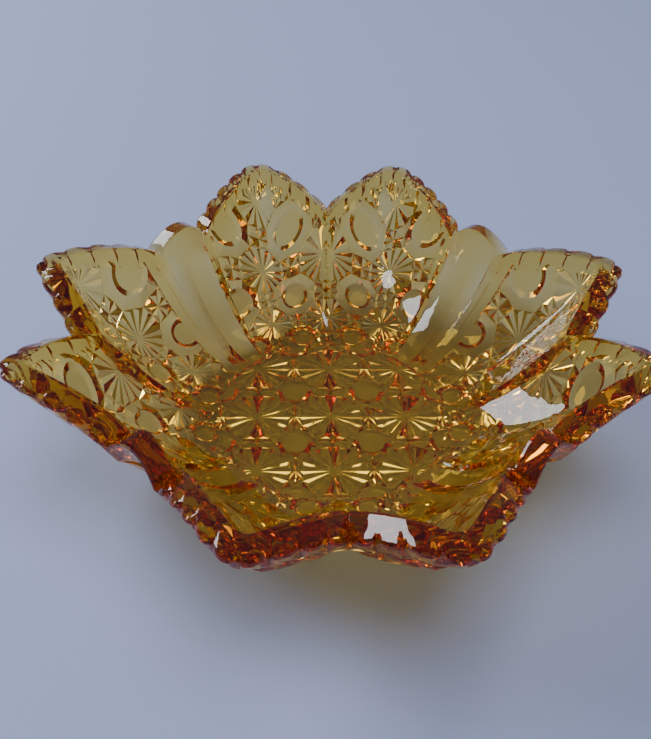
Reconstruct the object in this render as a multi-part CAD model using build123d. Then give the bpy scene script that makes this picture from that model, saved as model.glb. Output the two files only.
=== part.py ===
from build123d import *
from math import cos, radians, sin, sqrt
import os

# Pressed glass candy dish: a flat floor inside a ring of eight scooped lobes, two to a side,
# with a plain flute standing at each of the four corners. Millimetres, +Z up.
# The origin is the middle of the flat underside.

# Rim, seen from above. Each straight run of the inner rim is a line held by its distance
# from the centre and by the direction that its normal points, counted from the side's axis.
NOTCH_RUN = 50.2          # centre to the run between a side's notch and a lobe tip
NOTCH_RUN_ANGLE = -35.7
FLUTE_RUN = 56.2          # centre to the run between a lobe tip and a flute
FLUTE_RUN_ANGLE = 62.0
FLUTE_FACE = 60.4         # centre to the flat face of a corner flute
FLUTE_ANGLE = 45.0
TIP_ANGLE = 16.0          # direction of a lobe tip from its side's axis
BORDER_ANGLE = 37.3       # direction of the border between a lobe and a flute
TIP_ROUNDING = 2.8        # how far rounding draws the inner edge's lobe tip in
TIP_ROUNDING_GAIN = 0.48   # extra rounding of the tip for each millimetre outward
CREASE_ROUNDING = 0.6     # how far rounding fills a crease

# Wall
LAND = 7.3                # width of the flat land along the top of the rim
LAND_FALL = 0.8           # how far the land falls from its inner edge to its outer edge
LIP = 1.1                 # rounding of both edges of the land
FLOOR = 5.8               # thickness of the floor
FLOOR_RADIUS = 30.5       # corners of the seam where the wall meets the floor
FOOT_RADIUS = 33.0        # where the underside starts to rise

# Height of the inner rim above the inside of the floor
NOTCH_RISE = 27.4
TIP_RISE = 35.9
BORDER_RISE = 27.4
FLUTE_RISE = 33.2
RISE_POWER = 0.7          # below 1 keeps the rim high for longer between a lobe tip and a flute

SIDES = 4
QUARTER = 360 / SIDES
LOBE_GAPS = 14            # even gaps between the upright cuts through a lobe
FLUTE_GAPS = 6


def run(angle, distance, normal):
    """Distance from the centre to a straight run, looking along an angle."""
    return distance / cos(radians(angle - normal))


def least(a, b, rounding):
    """The smaller of two values, with the change from one to the other rounded."""
    return (a + b - sqrt((a - b) ** 2 + 4 * rounding ** 2)) / 2


def greatest(a, b, rounding):
    """The larger of two values, with the change from one to the other rounded."""
    return -least(-a, -b, rounding)


def rim_radius(angle, outward):
    """Radius of the rim outline, moved outward from the rim's inner edge."""
    tip_rounding = TIP_ROUNDING + TIP_ROUNDING_GAIN * outward
    folded = abs((angle + QUARTER / 2) % QUARTER - QUARTER / 2)
    near = run(folded, NOTCH_RUN + outward, NOTCH_RUN_ANGLE)
    far = run(folded, FLUTE_RUN + outward, FLUTE_RUN_ANGLE)
    if folded <= TIP_ANGLE:
        mirrored = run(-folded, NOTCH_RUN + outward, NOTCH_RUN_ANGLE)
        return least(greatest(near, mirrored, CREASE_ROUNDING), far, tip_rounding)
    flute = run(folded, FLUTE_FACE + outward, FLUTE_ANGLE)
    return greatest(least(near, far, tip_rounding), flute, CREASE_ROUNDING)


def rim_height(angle):
    """Height of the rim's land over the underside."""
    folded = abs((angle + QUARTER / 2) % QUARTER - QUARTER / 2)
    if folded <= TIP_ANGLE:
        rise = NOTCH_RISE + (TIP_RISE - NOTCH_RISE) * sin(radians(90 * folded / TIP_ANGLE))
    elif folded <= BORDER_ANGLE:
        share = (folded - TIP_ANGLE) / (BORDER_ANGLE - TIP_ANGLE)
        rise = BORDER_RISE + (TIP_RISE - BORDER_RISE) * cos(radians(90 * share)) ** RISE_POWER
    else:
        share = (FLUTE_ANGLE - folded) / (FLUTE_ANGLE - BORDER_ANGLE)
        rise = FLUTE_RISE - (FLUTE_RISE - BORDER_RISE) * share ** 2
    return FLOOR + rise


def seam_radius(angle, first, last):
    """Distance to the straight seam between the floor and the wall from first to last."""
    half = (last - first) / 2
    return FLOOR_RADIUS * cos(radians(half)) / cos(radians(angle - first - half))


def section(angle, first, last):
    """Upright cut through the wall along an angle."""
    across = Vector(cos(radians(angle)), sin(radians(angle)), 0)
    up = Vector(0, 0, 1)

    def at(radius, height):
        return across * radius + up * height

    seam = seam_radius(angle, first, last)
    inner = rim_radius(angle, 0)
    outer = rim_radius(angle, LAND)
    top = rim_height(angle)
    inner_foot = (seam + inner) / 2
    low = top - LAND_FALL
    outer_slope = (top - FLOOR) / (inner - inner_foot)
    outer_foot = outer - (low - LIP) / outer_slope
    edges = [
        Edge.make_bezier(at(seam, FLOOR), at(inner_foot, FLOOR), at(inner, top - LIP)),
        Edge.make_bezier(at(inner, top - LIP), at(inner + LIP / 2, top), at(inner + LIP, top)),
        Edge.make_line(at(inner + LIP, top), at(outer - LIP, low)),
        Edge.make_bezier(at(outer - LIP, low), at(outer, low), at(outer, low - LIP)),
        Edge.make_bezier(at(outer, low - LIP), at(outer_foot, 0), at(FOOT_RADIUS, 0)),
        Edge.make_line(at(FOOT_RADIUS, 0), at(seam, 0)),
        Edge.make_line(at(seam, 0), at(seam, FLOOR)),
    ]
    return Wire(edges)


def wall(first, last, gaps):
    """One stretch of wall, lofted through evenly spaced upright cuts."""
    angles = [first + (last - first) * i / gaps for i in range(gaps + 1)]
    return Solid.make_loft([section(a, first, last) for a in angles])


borders = []
for side in range(SIDES):
    start = side * QUARTER
    borders += [start - BORDER_ANGLE, start, start + BORDER_ANGLE]
corners = [(FLOOR_RADIUS * cos(radians(b)), FLOOR_RADIUS * sin(radians(b))) for b in borders]

lobe = wall(0, BORDER_ANGLE, LOBE_GAPS)
flute = wall(BORDER_ANGLE, QUARTER - BORDER_ANGLE, FLUTE_GAPS)
parts = {"floor": extrude(make_face(Polyline(*corners, close=True)), FLOOR)}
for side in range(SIDES):
    turned = side * QUARTER
    parts[f"lobe_left_{side + 1}"] = lobe.rotate(Axis.Z, turned)
    parts[f"lobe_right_{side + 1}"] = lobe.mirror(Plane.XZ).rotate(Axis.Z, turned)
    parts[f"flute_{side + 1}"] = flute.rotate(Axis.Z, turned)

os.makedirs("parts", exist_ok=True)
for name, shape in parts.items():
    shape.label = name
    export_step(shape, f"parts/{name}.step")
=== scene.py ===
from math import cos, hypot, radians, sin, sqrt

import bmesh
import bpy
from mathutils import Matrix, Vector


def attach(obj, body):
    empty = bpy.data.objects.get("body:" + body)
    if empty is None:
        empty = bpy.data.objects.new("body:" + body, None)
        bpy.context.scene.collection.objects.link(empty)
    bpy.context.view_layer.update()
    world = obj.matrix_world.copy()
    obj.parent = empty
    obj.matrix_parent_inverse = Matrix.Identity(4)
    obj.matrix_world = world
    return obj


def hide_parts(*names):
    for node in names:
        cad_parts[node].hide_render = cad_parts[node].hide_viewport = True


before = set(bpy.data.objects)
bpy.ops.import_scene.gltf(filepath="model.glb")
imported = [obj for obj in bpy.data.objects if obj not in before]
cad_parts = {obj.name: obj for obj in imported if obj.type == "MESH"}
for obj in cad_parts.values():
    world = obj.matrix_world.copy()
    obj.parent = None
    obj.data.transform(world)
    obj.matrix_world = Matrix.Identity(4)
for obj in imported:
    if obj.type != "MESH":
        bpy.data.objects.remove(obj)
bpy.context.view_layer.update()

bl_info = {
    "name": "Pressed glass dish",
    "version": (1, 0, 0),
    "blender": (4, 5, 0),
    "location": "3D View > Sidebar > Dish",
    "description": "Builds a pressed amber glass dish and a plain stage for it",
    "category": "Object",
}

MM = 0.001
EIGHTH = 45.0             # angle from a side's axis to the middle of a flute
JOIN = 1e-4               # points closer than this are one point
SHARP_ANGLE = 14          # edges that fold further than this stay crisp
RING_MARGIN = 0.01        # slack for points that lie on the floor's edge or near the rim
FLOOR_SIDES = 10          # straight cuts that round off an eighth of the floor's pattern

# Marks on points that tell the parts of an eighth apart while it is joined
INNER, BOTTOM, TOP, UNDERSIDE = 0, 1, 2, -1

# Shares of the height from the floor (0) to the rim (1)
FOOT_FADE = 0.3           # hollows deepen from the foot up to here
RIM_FADE = 0.12           # lobe hollows fade out over this much under the rim
FLUTE_FLARE = 0.15        # flutes come forward again over this much under the rim
FLUTE_FLARE_DEPTH = 0.45  # by this share of their recess
GROOVE_FOOT_FADE = 0.12   # outside grooves fade in over this much
GROOVE_RIM_FADE = 0.08    # and out over this much

# Rows of points up the beaded band: share of its width, share of the beads' depth
BAND_ROWS = ((0.35, 0.7), (0.7, 1))
# Rows over the land, outside to inside: share of its width, of the lip's fall, of the beads' depth
LAND_ROWS = ((0, 1, 1), (0.03, 0.35, 1), (0.12, 0, 0.75), (0.3, 0, 0.15), (0.6, 0, 0),
             (0.86, 0, 0), (0.96, 0.25, 0))
BEAD_DIP = 0.2            # how far the land dips at a cusp, for each millimetre of its depth

BEAD_SHARPNESS = 2.5      # higher makes the cusps between beads narrower
RIDGE_SHARPNESS = 1.3     # higher makes the crest of the ridge under a notch narrower
ROW_SPACING = 0.9         # below 1 crowds the inside rows of points toward the floor


class DishSizes(bpy.types.PropertyGroup):
    """Sizes of the dish, in millimetres and degrees."""

    notch_run: bpy.props.FloatProperty(
        name="Notch run", description="Centre to the rim between a notch and a lobe tip",
        default=50.2)
    notch_run_angle: bpy.props.FloatProperty(
        name="Notch run angle", description="Direction that the notch run faces", default=-35.7)
    flute_run: bpy.props.FloatProperty(
        name="Flute run", description="Centre to the rim between a lobe tip and a flute",
        default=56.2)
    flute_run_angle: bpy.props.FloatProperty(
        name="Flute run angle", description="Direction that the flute run faces", default=62.0)
    flute_face: bpy.props.FloatProperty(
        name="Flute face", description="Centre to the rim of a flute", default=60.4)
    tip_angle: bpy.props.FloatProperty(
        name="Tip angle", description="Direction of a lobe tip from its side's axis",
        default=16.0)
    border_angle: bpy.props.FloatProperty(
        name="Border angle", description="Direction of the border of lobe and flute",
        default=37.3)
    tip_rounding: bpy.props.FloatProperty(
        name="Tip rounding", description="How far rounding draws a lobe tip in", default=2.8)
    tip_rounding_gain: bpy.props.FloatProperty(
        name="Tip rounding gain", description="Extra rounding for each millimetre outward",
        default=0.48)
    crease_rounding: bpy.props.FloatProperty(
        name="Crease rounding", description="How far rounding fills a crease", default=0.6)
    land: bpy.props.FloatProperty(
        name="Land", description="Width of the land along the rim", default=7.3)
    land_fall: bpy.props.FloatProperty(
        name="Land fall", description="Fall of the land from inside to outside", default=0.8)
    lip: bpy.props.FloatProperty(
        name="Lip", description="Rounding of the land's edges", default=1.1)
    floor: bpy.props.FloatProperty(
        name="Floor", description="Thickness of the floor", default=5.8)
    floor_radius: bpy.props.FloatProperty(
        name="Floor radius", description="Where the inside starts to rise", default=30.5)
    foot_radius: bpy.props.FloatProperty(
        name="Foot radius", description="Where the underside starts to rise", default=33.0)
    notch_rise: bpy.props.FloatProperty(
        name="Notch rise", description="Height of the notch over the floor", default=27.4)
    tip_rise: bpy.props.FloatProperty(
        name="Tip rise", description="Height of a lobe tip over the floor", default=35.9)
    border_rise: bpy.props.FloatProperty(
        name="Border rise", description="Height of the border over the floor", default=27.4)
    flute_rise: bpy.props.FloatProperty(
        name="Flute rise", description="Height of a flute over the floor", default=33.2)
    rise_power: bpy.props.FloatProperty(
        name="Rise power", description="Below 1 keeps the rim high from a tip towards a flute",
        default=0.7)
    flute_recess: bpy.props.FloatProperty(
        name="Flute recess", description="How far a flute is set back from its lobes",
        default=2.2)
    flute_bulge: bpy.props.FloatProperty(
        name="Flute bulge", description="How far the back of a flute stands out", default=0.5)
    ridge: bpy.props.FloatProperty(
        name="Ridge", description="How far the ridge under a notch stands out", default=1.5)
    ridge_width: bpy.props.FloatProperty(
        name="Ridge width", description="Angle from the ridge's crest to its foot", default=2.6)
    lobe_scoop: bpy.props.FloatProperty(
        name="Lobe scoop", description="How far a lobe is hollowed", default=1.5)
    step_width: bpy.props.FloatProperty(
        name="Step width", description="Angle over which a flute is set back", default=0.9)


class PatternSizes(bpy.types.PropertyGroup):
    """Sizes of the pressed pattern."""

    pitch: bpy.props.FloatProperty(
        name="Pitch", description="Distance between daisies on the floor", default=21.5)
    relief: bpy.props.FloatProperty(
        name="Relief", description="Depth of the deepest cuts", default=1.3)
    first_row: bpy.props.FloatProperty(
        name="First row", description="Radius of the lowest row of daisies on the wall",
        default=45.5)
    row_gap: bpy.props.FloatProperty(
        name="Row gap", description="Radius from one row of daisies to the next",
        default=16.4)
    column_spread: bpy.props.FloatProperty(
        name="Column spread", description="How much wider the columns stand lower down",
        default=0.25)
    floor_edge: bpy.props.FloatProperty(
        name="Floor edge", description="Radius where the floor's pattern stops", default=33.0)
    wall_edge: bpy.props.FloatProperty(
        name="Wall edge", description="Radius where the wall's pattern starts", default=34.0)
    plain_strip: bpy.props.FloatProperty(
        name="Plain strip", description="Angle left plain beside a flute", default=2.5)
    strip_edge: bpy.props.FloatProperty(
        name="Strip edge", description="Angle from the pattern to the plain strip", default=0.4)
    border_groove: bpy.props.FloatProperty(
        name="Border groove", description="Depth of the groove outside beside a flute",
        default=1.7)
    notch_groove: bpy.props.FloatProperty(
        name="Notch groove", description="Depth of the groove outside below a notch",
        default=1.5)
    groove_width: bpy.props.FloatProperty(
        name="Groove width", description="Angle from the notch groove to its edge", default=5.0)
    bead_band: bpy.props.FloatProperty(
        name="Bead band", description="Width of the beaded band under the rim", default=3.2)
    bead_depth: bpy.props.FloatProperty(
        name="Bead depth", description="Depth of the cusps between beads", default=1.8)
    notch_beads: bpy.props.IntProperty(
        name="Notch beads", description="Beads from a notch to a lobe tip", default=4)
    flute_beads: bpy.props.IntProperty(
        name="Flute beads", description="Beads from a lobe tip to a flute", default=5)
    flute_steps: bpy.props.IntProperty(
        name="Flute steps", description="Steps across half a flute", default=8)
    rim_spacing: bpy.props.FloatProperty(
        name="Rim spacing", description="Spacing of points along the rim", default=0.8)
    inside_rows: bpy.props.IntProperty(
        name="Inside rows", description="Rows of points down the inside", default=24)


# ---------------------------------------------------------------- shape of the dish

def run(angle, distance, normal):
    return distance / cos(radians(angle - normal))


def least(a, b, rounding):
    return (a + b - sqrt((a - b) ** 2 + 4 * rounding ** 2)) / 2


def greatest(a, b, rounding):
    return -least(-a, -b, rounding)


def rim_radius(s, angle, outward):
    """Radius of the rim outline, moved outward from the rim's inner edge."""
    tip_rounding = s.tip_rounding + s.tip_rounding_gain * outward
    near = run(angle, s.notch_run + outward, s.notch_run_angle)
    far = run(angle, s.flute_run + outward, s.flute_run_angle)
    if angle <= s.tip_angle:
        mirrored = run(-angle, s.notch_run + outward, s.notch_run_angle)
        return least(greatest(near, mirrored, s.crease_rounding), far, tip_rounding)
    flute = run(angle, s.flute_face + outward, EIGHTH)
    return greatest(least(near, far, tip_rounding), flute, s.crease_rounding)


def rim_height(s, angle):
    """Height of the land's inner edge over the underside."""
    if angle <= s.tip_angle:
        share = sin(radians(90 * angle / s.tip_angle))
        return s.floor + s.notch_rise + (s.tip_rise - s.notch_rise) * share
    if angle <= s.border_angle:
        share = cos(radians(90 * (angle - s.tip_angle) / (s.border_angle - s.tip_angle)))
        share = max(share, 0) ** s.rise_power
        return s.floor + s.border_rise + (s.tip_rise - s.border_rise) * share
    share = (EIGHTH - angle) / (EIGHTH - s.border_angle)
    return s.floor + s.flute_rise - (s.flute_rise - s.border_rise) * share ** 2


def set_back(s, angle, share):
    """How far the inside is hollowed behind the plain sweep from floor to rim."""
    foot = min(1, share / FOOT_FADE)
    if angle > s.border_angle:
        hollow = s.flute_recess * min(1, (angle - s.border_angle) / s.step_width)
        flare = max(0, share - (1 - FLUTE_FLARE)) / FLUTE_FLARE
        return hollow * foot * (1 - FLUTE_FLARE_DEPTH * flare)
    across = 2 * angle / s.border_angle - 1
    hollow = s.lobe_scoop * (1 - across ** 4)
    hollow -= s.ridge * max(0, 1 - angle / s.ridge_width) ** RIDGE_SHARPNESS
    return hollow * foot * min(1, (1 - share) / RIM_FADE)


def inside(s, angle, share):
    """Radius and height of the inside, from the floor's edge (0) to the rim (1)."""
    rim = rim_radius(s, angle, 0)
    rise = rim_height(s, angle) - s.lip - s.floor
    radius = s.floor_radius + (rim - s.floor_radius) * share
    return radius + set_back(s, angle, share), s.floor + rise * share ** 2


def outside_height(s, angle, radius):
    """Height of the outside over the underside at a radius."""
    inner = rim_radius(s, angle, 0)
    outer = rim_radius(s, angle, s.land)
    top = rim_height(s, angle)
    low = top - s.land_fall - s.lip
    slope = (top - s.floor) / ((inner - s.floor_radius) / 2)
    knee = outer - low / slope
    if radius <= s.foot_radius:
        return 0.0
    square = s.foot_radius - 2 * knee + outer
    linear = 2 * (knee - s.foot_radius)
    discriminant = max(linear ** 2 + 4 * square * (radius - s.foot_radius), 0)
    share = (-linear + sqrt(discriminant)) / (2 * square)
    return low * share ** 2


def outside_point(s, angle, radius, relief):
    """Point on the outside at an angle and a radius, raised or sunk by the relief."""
    step = 0.02

    def place(a, r):
        a_mirrored = abs(a) if a <= EIGHTH else 2 * EIGHTH - a
        return Vector((r * cos(radians(a)), r * sin(radians(a)),
                       outside_height(s, a_mirrored, r)))

    along = place(angle, radius + step) - place(angle, radius - step)
    across = place(angle + step, radius) - place(angle - step, radius)
    outward = across.cross(along).normalized()
    if outward.z > 0:
        outward.negate()
    return place(angle, radius) + outward * relief


# ---------------------------------------------------------------- pressed pattern

def polar(radius, angle):
    return Vector((radius * cos(radians(angle)), radius * sin(radians(angle)), 0))


def tile_eighth(mesh, shape):
    """One eighth of a square of pattern, a daisy at the corner and a button opposite.

    The square is one wide. Heights are shares of the relief, from 0 on a ridge to -1.
    """
    half = 0.5
    star = Vector((half, 0, 0))
    button = Vector((half, half, 0))
    hub = shape["hub"]
    boundary = shape["boundary"]
    waist = shape["waist"]
    spike = shape["spike"]
    valley = shape["valley"]
    dome = shape["dome"]
    moat = shape["moat"]

    def vertex(place, height):
        return mesh.verts.new((place.x, place.y, height))

    centre = vertex(Vector((0, 0, 0)), shape["hub_height"])
    hubs = [vertex(polar(hub, EIGHTH * i / 4), shape["hub_height"]) for i in range(5)]
    axis_end = vertex(Vector((boundary, 0, 0)), 0)
    shoulder_place = polar(shape["shoulder"], EIGHTH / 2)
    shoulder = vertex(shoulder_place, 0)
    waist_vertex = vertex(polar(waist, EIGHTH), 0)
    rim = [axis_end, shoulder, waist_vertex]
    for first, second in zip(hubs, hubs[1:]):
        mesh.faces.new((centre, first, second))
    for number, angle in enumerate((EIGHTH / 4, 3 * EIGHTH / 4)):
        left, middle, right = hubs[2 * number:2 * number + 3]
        trough = vertex(polar(valley[number], angle), -1)
        start, end = rim[number], rim[number + 1]
        mesh.faces.new((left, start, trough))
        mesh.faces.new((left, trough, middle))
        mesh.faces.new((middle, trough, right))
        mesh.faces.new((right, trough, end))
        mesh.faces.new((trough, start, end))

    star_vertex = vertex(star, shape["star_height"])
    spike_vertex = vertex(Vector((half, spike, 0)), 0)
    for start, end in ((axis_end, shoulder), (shoulder, spike_vertex)):
        reach = shape["star_valley"]
        middle = (start.co + end.co) / 2
        place = star.lerp(Vector((middle.x, middle.y, 0)), reach)
        pit = vertex(place, -shape["star_depth"])
        mesh.faces.new((star_vertex, pit, start))
        mesh.faces.new((start, pit, end))
        mesh.faces.new((end, pit, star_vertex))

    steps = shape["button_steps"]
    angles = [270 - 45 * i / steps for i in range(steps + 1)]
    rings = [[vertex(button + polar(radius, a), height) for a in angles]
             for radius, height in (
                 (moat, -shape["moat_depth"]),
                 (dome, shape["dome_height"] - shape["dome_edge"]),
                 (dome * shape["dome_flat"], shape["dome_height"]))]
    middle = steps // 2
    outer = rings[0]
    for i in range(middle):
        mesh.faces.new((spike_vertex, outer[i], outer[i + 1]))
    mesh.faces.new((spike_vertex, outer[middle], shoulder))
    mesh.faces.new((shoulder, outer[middle], waist_vertex))
    for i in range(middle, steps):
        mesh.faces.new((waist_vertex, outer[i], outer[i + 1]))
    for first, second in zip(rings, rings[1:]):
        for i in range(steps):
            mesh.faces.new((first[i], second[i], second[i + 1], first[i + 1]))
    top = vertex(button, shape["dome_height"])
    for i in range(steps):
        mesh.faces.new((rings[-1][i], top, rings[-1][i + 1]))


WALL_TILE = {
    "hub": 0.045, "hub_height": -0.12, "boundary": 0.365, "shoulder": 0.3827, "waist": 0.3536,
    "valley": (0.335, 0.33), "spike": 0.16, "star_height": -0.1, "star_valley": 0.75,
    "star_depth": 1.0, "dome": 0.17, "dome_height": 0, "moat": 0.23, "moat_depth": 1,
    "dome_edge": 0.1, "dome_flat": 0.8, "button_steps": 4,
}
FLOOR_TILE = {
    "hub": 0.06, "hub_height": -0.12, "boundary": 0.44, "shoulder": 0.44, "waist": 0.443,
    "valley": (0.41, 0.41), "spike": 0.25, "star_height": -0.1, "star_valley": 0.7,
    "star_depth": 0.7, "dome": 0.17, "dome_height": -0.25, "moat": 0.23, "moat_depth": 1,
    "dome_edge": 0.1, "dome_flat": 0.8, "button_steps": 4,
}


def all_of(mesh):
    return list(mesh.verts) + list(mesh.edges) + list(mesh.faces)


def reflect(mesh, normal):
    """Adds the mirror image through the origin and joins the two halves."""
    made = bmesh.ops.duplicate(mesh, geom=all_of(mesh))["geom"]
    verts = [v for v in made if isinstance(v, bmesh.types.BMVert)]
    faces = [f for f in made if isinstance(f, bmesh.types.BMFace)]
    normal = normal.normalized()
    for v in verts:
        v.co -= 2 * v.co.dot(normal) * normal
    bmesh.ops.reverse_faces(mesh, faces=faces)
    bmesh.ops.remove_doubles(mesh, verts=mesh.verts, dist=JOIN)


def full_tile(shape):
    mesh = bmesh.new()
    tile_eighth(mesh, shape)
    reflect(mesh, Vector((1, -1, 0)))
    reflect(mesh, Vector((1, 0, 0)))
    reflect(mesh, Vector((0, 1, 0)))
    return mesh


def tiled(shape, columns, rows):
    """Squares of pattern set side by side, with a daisy on every whole number."""
    mesh = full_tile(shape)
    single = all_of(mesh)
    for column in columns:
        for row in rows:
            if (column, row) == (0, 0):
                continue
            made = bmesh.ops.duplicate(mesh, geom=single)["geom"]
            verts = [v for v in made if isinstance(v, bmesh.types.BMVert)]
            bmesh.ops.translate(mesh, verts=verts, vec=(column, row, 0))
    bmesh.ops.remove_doubles(mesh, verts=mesh.verts, dist=JOIN)
    return mesh


def cut(mesh, point, normal):
    """Cuts the mesh and drops what lies beyond the plane."""
    bmesh.ops.bisect_plane(
        mesh, geom=all_of(mesh), dist=1e-5, plane_co=point, plane_no=normal, clear_outer=True)


def band_radius(s, p, angle):
    """Radius where the pattern stops and the beaded band under the rim starts."""
    return rim_radius(s, angle, s.land) - p.bead_band


def border_edges(mesh, coordinate, value):
    """Edges whose two ends both have the value in one coordinate."""
    return [e for e in mesh.edges
            if all(abs(v.co[coordinate] - value) < JOIN for v in e.verts)]


def new_verts(made):
    return [v for v in made["geom"] if isinstance(v, bmesh.types.BMVert)]


def bead_cusps(s, p):
    """Directions of the cusps between beads, from a side's axis to a flute."""
    notch_side = [s.tip_angle * i / p.notch_beads for i in range(p.notch_beads)]
    width = (s.border_angle - s.tip_angle) / p.flute_beads
    return notch_side + [s.tip_angle + width * i for i in range(p.flute_beads + 1)]


def fade_at_ends(share):
    """Fades a groove out at the foot and just under the rim."""
    return max(0, min(1, share / GROOVE_FOOT_FADE, (1 - share) / GROOVE_RIM_FADE))


def wall_outside(s, p):
    """The outside of an eighth of the wall, laid out by angle and by share of its height."""
    mesh = tiled(WALL_TILE, (0, 1, 2), (-1, 0, 1, 2, 3))
    cut(mesh, (0, 0, 0), (-1, 0, 0))
    for v in mesh.verts:
        radius = p.first_row + p.row_gap * v.co.y
        lower = (p.first_row + 2 * p.row_gap - radius) / (2 * p.row_gap)
        angle = v.co.x * s.border_angle / 2 * (1 + p.column_spread * lower)
        share = (radius - p.wall_edge) / (band_radius(s, p, angle) - p.wall_edge)
        groove = p.notch_groove * max(0, 1 - abs(angle) / p.groove_width) * fade_at_ends(share)
        v.co = (angle, share, v.co.z * p.relief - groove)
    strip = s.border_angle - p.plain_strip
    cut(mesh, (strip - p.strip_edge, 0, 0), (1, 0, 0))
    cut(mesh, (0, 0, 0), (0, -1, 0))
    cut(mesh, (0, 1, 0), (0, 1, 0))
    previous = strip - p.strip_edge
    plain = [strip, s.border_angle, s.border_angle + s.step_width / 2,
             s.border_angle + s.step_width] + [
        s.border_angle + s.step_width
        + (EIGHTH - s.border_angle - s.step_width) * i / p.flute_steps
        for i in range(1, p.flute_steps + 1)]
    for angle in plain:
        made = bmesh.ops.extrude_edge_only(mesh, edges=border_edges(mesh, 0, previous))
        for v in new_verts(made):
            v.co.x = angle
            across = (angle - s.border_angle) / (EIGHTH - s.border_angle)
            v.co.z = 0
            if across >= 0:
                raised = s.flute_bulge * across - p.border_groove * (1 - across)
                v.co.z = raised * fade_at_ends(v.co.y)
        previous = angle
    rim = border_edges(mesh, 1, 1)
    for edge in rim:
        first, second = (polar(band_radius(s, p, v.co.x), v.co.x) for v in edge.verts)
        cuts = int((first - second).length / p.rim_spacing)
        if cuts:
            bmesh.ops.subdivide_edges(mesh, edges=[edge], cuts=cuts)
    top = sorted({v for e in border_edges(mesh, 1, 1) for v in e.verts}, key=lambda v: v.co.x)
    for cusp in bead_cusps(s, p):
        min(top, key=lambda v: abs(v.co.x - cusp)).co.x = cusp
    return mesh


def floor_outside(p):
    """The underside of an eighth of the floor, laid flat."""
    mesh = tiled(FLOOR_TILE, (0, 1, 2), (0, 1, 2))
    cut(mesh, (0, 0, 0), (0, -1, 0))
    cut(mesh, (0, 0, 0), (-1, 1, 0))
    for v in mesh.verts:
        v.co = (v.co.x * p.pitch, v.co.y * p.pitch, v.co.z * p.relief)
    for i in range(FLOOR_SIDES):
        facing = polar(1, EIGHTH * (i + 0.5) / FLOOR_SIDES)
        cut(mesh, facing * p.floor_edge, facing)
    return mesh


def take_in(mesh, other):
    """Moves another mesh into this one and gives its points there."""
    copies = {v: mesh.verts.new(v.co) for v in other.verts}
    for face in other.faces:
        mesh.faces.new([copies[v] for v in face.verts])
    other.free()
    return list(copies.values())


def eighth(s, p):
    """One eighth of the whole dish, from a side's axis to the middle of a flute."""
    mesh = wall_outside(s, p)
    column = mesh.verts.layers.float.new("column")
    marked = mesh.verts.layers.int.new("marked")
    bottom = {v for e in border_edges(mesh, 1, 0) for v in e.verts}
    top = {v for e in border_edges(mesh, 1, 1) for v in e.verts}
    for v in mesh.verts:
        angle, share, relief = v.co
        v[column] = angle
        radius = p.wall_edge + share * (band_radius(s, p, angle) - p.wall_edge)
        v.co = outside_point(s, angle, radius, relief)
        v.co.z = max(v.co.z, 0)
    for v in mesh.verts:
        v[marked] = BOTTOM if v in bottom else TOP if v in top else INNER
    underside = floor_outside(p)
    for v in underside.verts:
        v.co.z = -v.co.z
    for v in take_in(mesh, underside):
        v[marked] = UNDERSIDE

    open_edges = [e for e in mesh.edges if e.is_boundary]
    wall_ring = [e for e in open_edges if all(v[marked] == BOTTOM for v in e.verts)]
    floor_ring = [e for e in open_edges
                  if all(v[marked] == UNDERSIDE
                         and hypot(v.co.x, v.co.y) > p.floor_edge - RING_MARGIN
                         for v in e.verts)]
    bmesh.ops.bridge_loops(mesh, edges=wall_ring + floor_ring)

    rim = [e for e in mesh.edges if e.is_boundary and all(v[marked] == TOP for v in e.verts)]
    for place in rim_rows(s, p):
        made = bmesh.ops.extrude_edge_only(mesh, edges=rim)
        for v in new_verts(made):
            v.co = place(v[column])
            v[marked] = INNER
        rim = [e for e in made["geom"] if isinstance(e, bmesh.types.BMEdge)
               and e.is_boundary and abs(e.verts[0][column] - e.verts[1][column]) > 1e-5]
    ring = sorted({v for e in rim for v in e.verts}, key=lambda v: v[column])
    centre = mesh.verts.new((0, 0, s.floor))
    mesh.faces.new(ring + [centre])
    return mesh


def bead_drop(s, p, angle):
    """How far the outline falls back between two beads."""
    if angle > s.border_angle:
        return 0
    cusps = bead_cusps(s, p)
    for first, second in zip(cusps, cusps[1:]):
        if first <= angle <= second:
            share = (angle - first) / (second - first)
            return p.bead_depth * abs(2 * share - 1) ** BEAD_SHARPNESS
    return 0


def rim_rows(s, p):
    """Rules for the rows of points from the beaded band over the land and down the inside."""
    def band(share, bead):
        def place(angle):
            radius = band_radius(s, p, angle) + share * p.bead_band
            radius -= bead * bead_drop(s, p, angle)
            limit = rim_radius(s, angle, s.land) - RING_MARGIN
            return outside_point(s, angle, min(radius, limit), 0)
        return place

    def land(from_outer, fall, bead):
        def place(angle):
            outer = rim_radius(s, angle, s.land)
            inner = rim_radius(s, angle, 0) + set_back(s, angle, 1)
            radius = outer - from_outer * (outer - inner)
            radius -= bead * bead_drop(s, p, angle)
            height = rim_height(s, angle) - s.land_fall * (1 - from_outer) - fall * s.lip
            height -= BEAD_DIP * bead * bead_drop(s, p, angle)
            return polar(radius, angle) + Vector((0, 0, height))
        return place

    def down(share):
        def place(angle):
            radius, height = inside(s, angle, share)
            return polar(radius, angle) + Vector((0, 0, height))
        return place

    rows = [band(*row) for row in BAND_ROWS] + [land(*row) for row in LAND_ROWS]
    rows += [down((1 - i / p.inside_rows) ** ROW_SPACING) for i in range(p.inside_rows)]
    rows.append(down(0))
    return rows


# ---------------------------------------------------------------- glass

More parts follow.
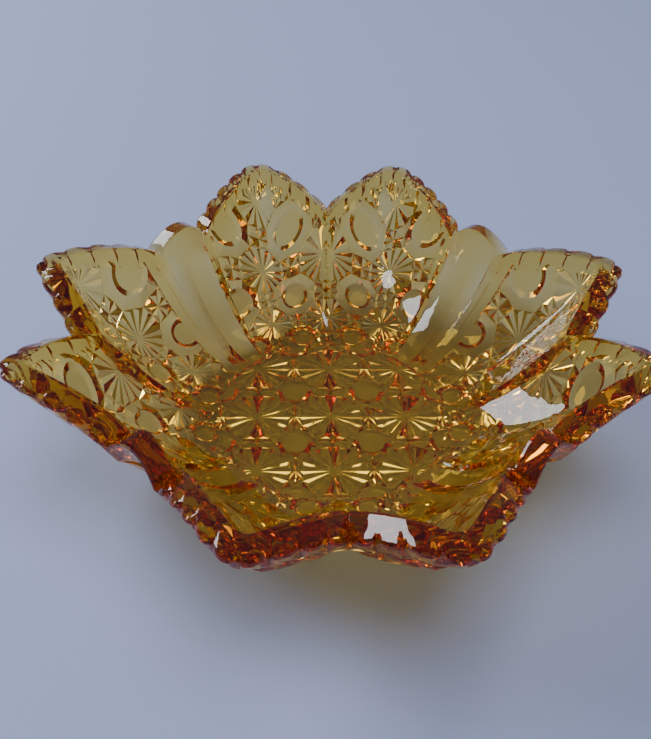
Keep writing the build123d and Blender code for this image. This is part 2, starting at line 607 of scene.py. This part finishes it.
def amber_glass(g):
    """Clear amber glass that deepens where light travels further through it."""
    material = bpy.data.materials.new("amber_glass")
    material.use_nodes = True
    nodes, links = material.node_tree.nodes, material.node_tree.links
    shader = nodes["Principled BSDF"]
    shader.inputs["Base Color"].default_value = (*g.surface, 1)
    shader.inputs["Transmission Weight"].default_value = 1
    shader.inputs["IOR"].default_value = g.ior
    shader.inputs["Roughness"].default_value = g.roughness
    place = nodes.new("ShaderNodeTexCoord")
    ripples = nodes.new("ShaderNodeTexNoise")
    ripples.inputs["Scale"].default_value = g.ripple_scale
    ripples.inputs["Detail"].default_value = g.ripple_detail
    links.new(place.outputs["Object"], ripples.inputs["Vector"])
    waviness = nodes.new("ShaderNodeBump")
    waviness.inputs["Strength"].default_value = g.waviness
    waviness.inputs["Distance"].default_value = g.ripple_height
    links.new(ripples.outputs["Fac"], waviness.inputs["Height"])
    links.new(waviness.outputs["Normal"], shader.inputs["Normal"])
    depth = nodes.new("ShaderNodeVolumeAbsorption")
    depth.inputs["Color"].default_value = (*g.tint, 1)
    depth.inputs["Density"].default_value = g.density
    links.new(depth.outputs["Volume"], nodes["Material Output"].inputs["Volume"])
    return material


class GlassFinish(bpy.types.PropertyGroup):
    """Colour and depth of the glass."""

    tint: bpy.props.FloatVectorProperty(
        name="Tint", description="Colour that is let through", subtype="COLOR", size=3,
        default=(0.935, 0.80, 0.04))
    surface: bpy.props.FloatVectorProperty(
        name="Surface", description="Tint at the surface", subtype="COLOR", size=3,
        default=(1.0, 0.90, 0.72))
    density: bpy.props.FloatProperty(
        name="Density", description="Strength of the tint for each metre", default=250)
    waviness: bpy.props.FloatProperty(
        name="Waviness", description="Strength of the soft ripples left by pressing",
        default=0.5)
    ripple_scale: bpy.props.FloatProperty(
        name="Ripple scale", description="How close together the ripples are", default=75)
    ripple_detail: bpy.props.FloatProperty(
        name="Ripple detail", description="Finer ripples laid over the first", default=2)
    ripple_height: bpy.props.FloatProperty(
        name="Ripple height", description="Height of the ripples", default=0.001,
        precision=4, unit="LENGTH")
    roughness: bpy.props.FloatProperty(
        name="Roughness", description="Blur of the fire-polished surface", default=0.015,
        precision=3)
    ior: bpy.props.FloatProperty(
        name="IOR", description="How strongly the glass bends light", default=1.5)


class StageSettings(bpy.types.PropertyGroup):
    """The floor, the lights and the camera."""

    floor_size: bpy.props.FloatProperty(
        name="Floor size", description="Half the width of the floor", default=2.5,
        unit="LENGTH")
    floor_drop: bpy.props.FloatProperty(
        name="Floor drop", description="How far the floor lies under the dish",
        default=0.0002, precision=4, unit="LENGTH")
    floor_color: bpy.props.FloatVectorProperty(
        name="Floor colour", description="Paint of the floor", subtype="COLOR", size=3,
        default=(0.33, 0.375, 0.56))
    floor_roughness: bpy.props.FloatProperty(
        name="Floor roughness", description="Blur of the floor's surface", default=0.7)
    sky_color: bpy.props.FloatVectorProperty(
        name="Sky colour", description="Colour of the light all round", subtype="COLOR",
        size=3, default=(0.75, 0.80, 1))
    sky_strength: bpy.props.FloatProperty(
        name="Sky strength", description="Strength of the light all round", default=0.25)
    overhead_place: bpy.props.FloatVectorProperty(
        name="Overhead place", description="Middle of the overhead light",
        subtype="TRANSLATION", size=3, default=(0.2, -0.1, 1.8))
    overhead_size: bpy.props.FloatProperty(
        name="Overhead size", description="Width of the overhead light", default=1.4,
        unit="LENGTH")
    overhead_power: bpy.props.FloatProperty(
        name="Overhead power", description="Power of the overhead light", default=22,
        unit="POWER")
    overhead_color: bpy.props.FloatVectorProperty(
        name="Overhead colour", description="Colour of the overhead light",
        subtype="COLOR", size=3, default=(0.86, 0.90, 1))
    window_place: bpy.props.FloatVectorProperty(
        name="Window place", description="Middle of the window light",
        subtype="TRANSLATION", size=3, default=(-0.9, 0.45, 0.75))
    window_width: bpy.props.FloatProperty(
        name="Window width", description="Width of the window light", default=0.7,
        unit="LENGTH")
    window_height: bpy.props.FloatProperty(
        name="Window height", description="Height of the window light", default=0.5,
        unit="LENGTH")
    window_power: bpy.props.FloatProperty(
        name="Window power", description="Power of the window light", default=14,
        unit="POWER")
    window_color: bpy.props.FloatVectorProperty(
        name="Window colour", description="Colour of the window light",
        subtype="COLOR", size=3, default=(0.88, 0.93, 1))
    camera_place: bpy.props.FloatVectorProperty(
        name="Camera place", description="Where the camera stands",
        subtype="TRANSLATION", size=3, default=(-0.0143, -0.1937, 0.1825))
    camera_azimuth: bpy.props.FloatProperty(
        name="Camera azimuth", description="Turn of the camera from straight ahead",
        default=radians(3.52), unit="ROTATION")
    camera_drop: bpy.props.FloatProperty(
        name="Camera drop", description="How far the camera looks down",
        default=radians(39.81), unit="ROTATION")
    camera_roll: bpy.props.FloatProperty(
        name="Camera roll", description="Tilt of the camera about its own axis",
        default=radians(2.35), unit="ROTATION")
    sensor: bpy.props.FloatProperty(
        name="Sensor", description="Height of the sensor", default=36, unit="CAMERA")
    lens: bpy.props.FloatProperty(
        name="Lens", description="Focal length", default=44.486, precision=3,
        unit="CAMERA")
    bounces: bpy.props.IntProperty(
        name="Bounces", description="How often light may pass through glass", default=32)
    glossy_bounces: bpy.props.IntProperty(
        name="Glossy bounces", description="How often light may be mirrored", default=16)


def stage_floor(stage):
    mesh = bmesh.new()
    bmesh.ops.create_grid(mesh, x_segments=1, y_segments=1, size=stage.floor_size)
    data = bpy.data.meshes.new("stage_floor")
    mesh.to_mesh(data)
    mesh.free()
    paint = bpy.data.materials.new("pale_floor")
    paint.use_nodes = True
    shader = paint.node_tree.nodes["Principled BSDF"]
    shader.inputs["Base Color"].default_value = (*stage.floor_color, 1)
    shader.inputs["Roughness"].default_value = stage.floor_roughness
    data.materials.append(paint)
    floor = bpy.data.objects.new("stage_floor", data)
    floor.location.z = -stage.floor_drop
    return floor


def area_light(name, place, width, height, power, color):
    """An area light that faces the dish."""
    light = bpy.data.lights.new(name, "AREA")
    light.shape = "SQUARE" if width == height else "RECTANGLE"
    light.size, light.size_y = width, height
    light.energy = power
    light.color = color
    lamp = bpy.data.objects.new(name, light)
    lamp.location = place
    lamp.rotation_euler = (-Vector(place)).to_track_quat("-Z", "Y").to_euler()
    return lamp


def stage_camera(stage):
    azimuth, drop, roll = stage.camera_azimuth, stage.camera_drop, stage.camera_roll
    forward = Vector((sin(azimuth) * cos(drop), cos(azimuth) * cos(drop), -sin(drop)))
    right = Vector((cos(azimuth), -sin(azimuth), 0))
    up = right.cross(forward)
    right_rolled = right * cos(roll) + up * sin(roll)
    up_rolled = up * cos(roll) - right * sin(roll)
    data = bpy.data.cameras.new("camera")
    data.sensor_fit = "VERTICAL"
    data.sensor_height = stage.sensor
    data.lens = stage.lens
    camera = bpy.data.objects.new("camera", data)
    turned = Matrix((right_rolled, up_rolled, -forward)).transposed().to_4x4()
    camera.matrix_world = Matrix.Translation(stage.camera_place) @ turned
    return camera


class DISH_OT_glass(bpy.types.Operator):
    """Build the pressed glass dish in one piece"""

    bl_idname = "dish.glass"
    bl_label = "Pressed glass dish"

    def execute(self, context):
        scene = context.scene
        mesh = eighth(scene.dish_sizes, scene.pattern_sizes)
        reflect(mesh, Vector((-1, 1, 0)))
        reflect(mesh, Vector((1, 0, 0)))
        reflect(mesh, Vector((0, 1, 0)))
        bmesh.ops.recalc_face_normals(mesh, faces=mesh.faces)
        if not all(e.is_manifold for e in mesh.edges):
            raise RuntimeError("the glass isn't closed")
        for face in mesh.faces:
            face.smooth = True
        for edge in mesh.edges:
            if edge.calc_face_angle() > radians(SHARP_ANGLE):
                edge.smooth = False
        bmesh.ops.scale(mesh, vec=(MM, MM, MM), verts=mesh.verts)
        data = bpy.data.meshes.new("pressed_glass")
        mesh.to_mesh(data)
        mesh.free()
        data.materials.append(amber_glass(scene.glass_finish))
        dish = bpy.data.objects.new("pressed_glass_dish", data)
        scene.collection.objects.link(dish)
        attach(dish, "root")
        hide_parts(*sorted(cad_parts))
        return {"FINISHED"}


class DISH_OT_stage(bpy.types.Operator):
    """Lay a pale floor, set soft lights and place the camera"""

    bl_idname = "dish.stage"
    bl_label = "Stage"

    def execute(self, context):
        scene = context.scene
        stage = scene.stage_settings
        if stage.bounces < 1:
            raise RuntimeError("light can't pass through the glass")
        floor = stage_floor(stage)
        scene.collection.objects.link(floor)

        sky = bpy.data.worlds.new("studio")
        sky.use_nodes = True
        light = sky.node_tree.nodes["Background"].inputs
        light["Color"].default_value = (*stage.sky_color, 1)
        light["Strength"].default_value = stage.sky_strength
        scene.world = sky

        overhead = area_light("overhead", stage.overhead_place, stage.overhead_size,
                              stage.overhead_size, stage.overhead_power,
                              stage.overhead_color)
        overhead.visible_glossy = False
        window = area_light("window", stage.window_place, stage.window_width,
                            stage.window_height, stage.window_power, stage.window_color)
        camera = stage_camera(stage)
        for item in (overhead, window, camera):
            scene.collection.objects.link(item)
        scene.camera = camera
        scene.cycles.max_bounces = stage.bounces
        scene.cycles.transmission_bounces = stage.bounces
        scene.cycles.glossy_bounces = stage.glossy_bounces
        return {"FINISHED"}


class DISH_PT_panel(bpy.types.Panel):
    """Lists the pieces of the dish"""

    bl_idname = "DISH_PT_panel"
    bl_label = "Pressed glass dish"
    bl_space_type = "VIEW_3D"
    bl_region_type = "UI"
    bl_category = "Dish"

    def draw(self, context):
        for operator in OPERATORS:
            self.layout.operator(operator.bl_idname)


OPERATORS = (DISH_OT_glass, DISH_OT_stage)
GROUPS = {
    "dish_sizes": DishSizes,
    "pattern_sizes": PatternSizes,
    "glass_finish": GlassFinish,
    "stage_settings": StageSettings,
}


def register():
    for group in GROUPS.values():
        bpy.utils.register_class(group)
    for operator in OPERATORS:
        bpy.utils.register_class(operator)
    bpy.utils.register_class(DISH_PT_panel)
    for name, group in GROUPS.items():
        setattr(bpy.types.Scene, name, bpy.props.PointerProperty(type=group))


def unregister():
    for name in GROUPS:
        delattr(bpy.types.Scene, name)
    bpy.utils.unregister_class(DISH_PT_panel)
    for operator in reversed(OPERATORS):
        bpy.utils.unregister_class(operator)
    for group in reversed(list(GROUPS.values())):
        bpy.utils.unregister_class(group)


def main():
    register()
    bpy.ops.dish.glass()
    bpy.ops.dish.stage()


if __name__ == "__main__":
    main()
